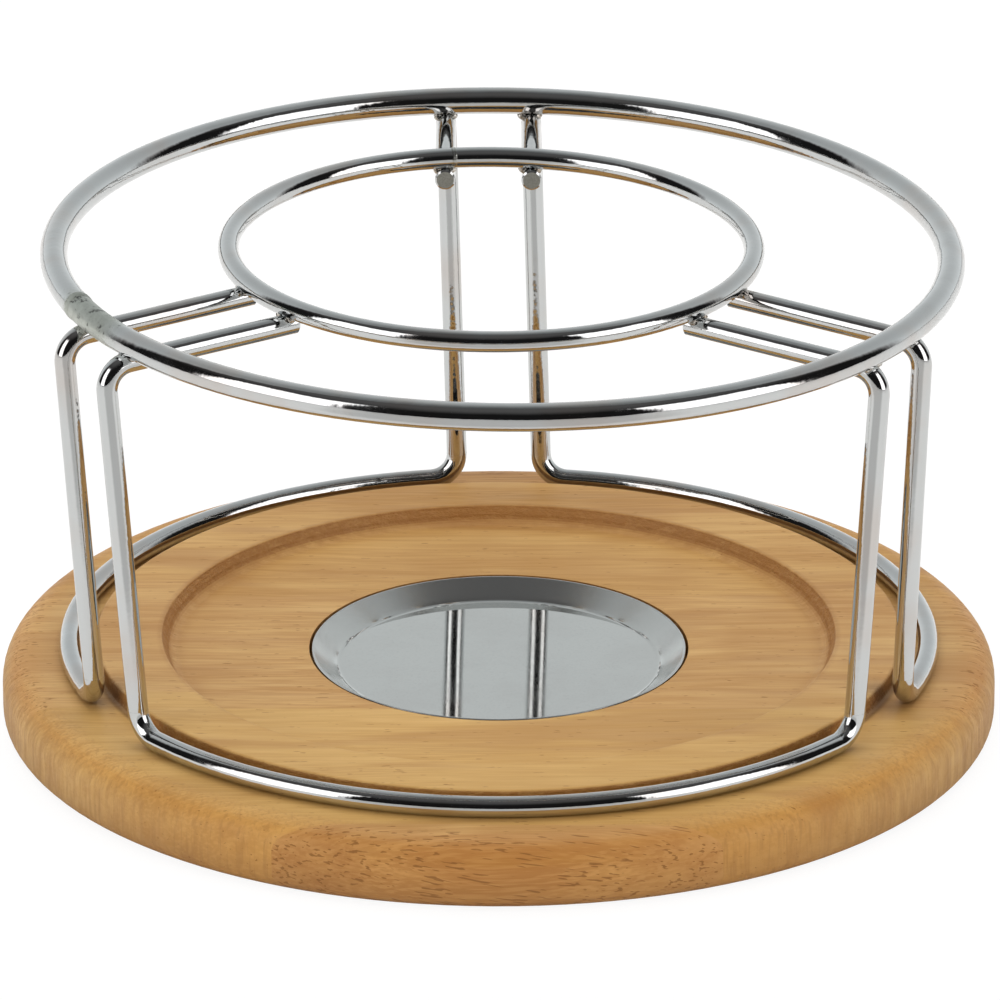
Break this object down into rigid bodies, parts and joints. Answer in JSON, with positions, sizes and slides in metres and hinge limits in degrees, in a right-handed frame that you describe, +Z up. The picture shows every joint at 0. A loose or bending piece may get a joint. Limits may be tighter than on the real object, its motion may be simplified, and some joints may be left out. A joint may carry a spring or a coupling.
{
  "type": "fondue burner stand",
  "caption": "Round wooden board with a raised middle, a set-in steel burner dish and a lift-off chrome wire frame whose bent-wire legs carry an outer and an inner pan ring.",
  "frame": {"origin": "centre of the board's flat underside, on the table", "axes": "+Z up along the board's axis; -Y is the front, where one leg wire runs across between the two side pairs of legs; the back pair of legs stands on +Y"},
  "size_m": [0.24, 0.24, 0.1231],
  "materials": {
    "beech": "oiled, satin",
    "polished_steel": "polished",
    "chrome_wire": "plated, bright",
    "chrome_weld": "plated over a rough weld"
  },
  "bodies": {
    "board": {"base_board": "beech"},
    "dish": {"burner_dish": "polished_steel"},
    "frame": {"front_leg_wire": "chrome_wire", "rear_left_leg_wire": "chrome_wire", "rear_right_leg_wire": "chrome_wire", "outer_ring": "chrome_wire", "inner_ring": "chrome_wire", "outer_ring_welds": "chrome_weld", "inner_ring_welds": "chrome_weld", "outer_ring_joint": "chrome_weld", "inner_ring_joint": "chrome_weld"}
  },
  "joints": [
    {"name": "frame_lift", "type": "slide", "parent": "board", "child": "frame", "axis": [0, 0, 1], "range_m": [0, 0.05]},
    {"name": "dish_lift", "type": "slide", "parent": "board", "child": "dish", "axis": [0, 0, 1], "range_m": [0, 0.04]}
  ]
}
